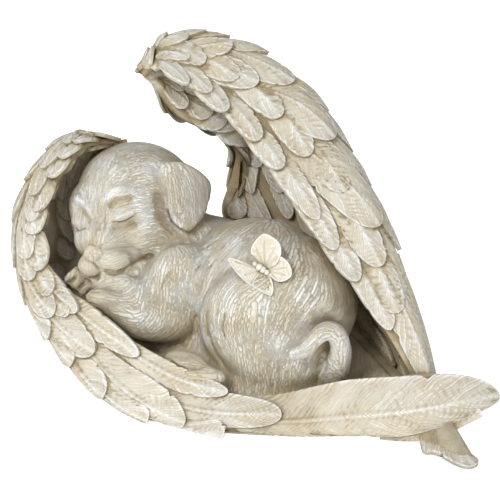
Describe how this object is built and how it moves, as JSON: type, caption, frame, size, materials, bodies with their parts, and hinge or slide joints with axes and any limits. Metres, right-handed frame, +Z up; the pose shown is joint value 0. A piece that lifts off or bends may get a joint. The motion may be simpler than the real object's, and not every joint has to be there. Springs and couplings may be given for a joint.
{
  "type": "dog statuette",
  "caption": "Cast resin-stone statuette of a puppy asleep between crossed angel wings, a butterfly on its flank, in an antique ivory finish.",
  "frame": {"origin": "centre of the footprint's box, on the surface that the statuette stands on", "axes": "+X along the statuette, from the puppy's head to the wing tips; +Y away from its front; +Z up"},
  "size_m": [0.1999, 0.1489, 0.1294],
  "materials": {
    "antique_ivory": "matte"
  },
  "bodies": {
    "root": {"dog_in_wings": "antique_ivory"}
  },
  "joints": []
}
